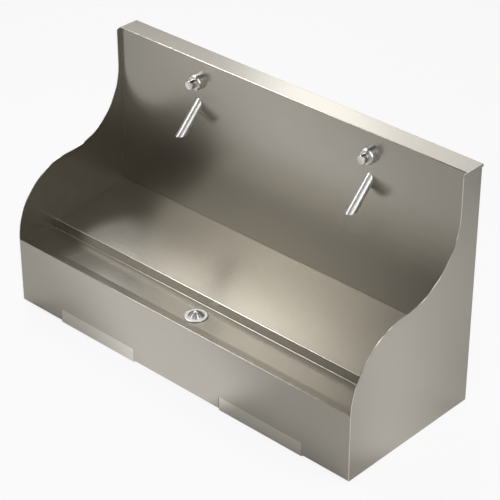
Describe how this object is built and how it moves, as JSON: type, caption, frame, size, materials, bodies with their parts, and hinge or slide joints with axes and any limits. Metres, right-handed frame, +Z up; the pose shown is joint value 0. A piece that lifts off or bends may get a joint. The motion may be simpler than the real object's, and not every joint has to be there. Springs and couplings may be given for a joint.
{
  "type": "double wudu washing station",
  "caption": "Stainless double wudu station: sloping shelf and gutter with a strainer waste between S-curved side panels, with push-button taps and slanted spouts.",
  "frame": {"origin": "on the floor, midway across and midway from front to back of the whole station", "axes": "+X across the station to the user's right, +Y from the front apron towards the wall, +Z up"},
  "size_m": [1.2, 0.4716, 0.7065],
  "materials": {
    "satin_steel": "satin brushed stainless sheet",
    "mill_steel": "unpolished stainless sheet",
    "fastener_steel": "turned stainless",
    "spring_steel": "drawn wire",
    "polished_steel": "polished stainless",
    "chrome": "bright chromed brass",
    "brass": "machined brass",
    "seal_rubber": "moulded black rubber"
  },
  "bodies": {
    "station": {"back_panel": "satin_steel", "trough_pan": "satin_steel", "front_apron": "satin_steel", "side_panel_left": "satin_steel", "side_panel_right": "satin_steel", "shelf_stiffener_left": "mill_steel", "shelf_stiffener_centre": "mill_steel", "shelf_stiffener_right": "mill_steel", "rear_rail": "mill_steel", "front_foot_left": "satin_steel", "front_foot_right": "satin_steel", "rear_foot_left": "mill_steel", "rear_foot_right": "mill_steel", "rear_foot_bolts": "fastener_steel", "rear_foot_nuts": "fastener_steel", "waste_body": "polished_steel", "waste_strainer": "polished_steel", "waste_flange_seal": "seal_rubber", "waste_under_seal": "seal_rubber", "waste_back_nut": "brass", "tap_collar_left": "chrome", "tap_collar_right": "chrome", "return_spring_left": "spring_steel", "return_spring_right": "spring_steel", "plunger_seal_left": "seal_rubber", "plunger_seal_right": "seal_rubber", "valve_body_left": "brass", "valve_body_right": "brass", "valve_washer_left": "seal_rubber", "valve_washer_right": "seal_rubber", "valve_cap_left": "brass", "valve_cap_right": "brass", "inlet_nipple_left": "brass", "inlet_nipple_right": "brass", "outlet_pipe_left": "brass", "outlet_pipe_right": "brass", "spout_socket_left": "brass", "spout_socket_right": "brass", "spout_left": "chrome", "spout_right": "chrome"},
    "left_button": {"push_button_left": "chrome", "plunger_left": "brass"},
    "right_button": {"push_button_right": "chrome", "plunger_right": "brass"}
  },
  "joints": [
    {"name": "left_button_push", "type": "slide", "parent": "station", "child": "left_button", "axis": [0, 1, 0], "range_m": [0, 0.008], "stiffness_N_per_m": 1500, "springref_m": -0.008, "deforming": ["return_spring_left"]},
    {"name": "right_button_push", "type": "slide", "parent": "station", "child": "right_button", "axis": [0, 1, 0], "range_m": [0, 0.008], "stiffness_N_per_m": 1500, "springref_m": -0.008, "deforming": ["return_spring_right"]}
  ]
}
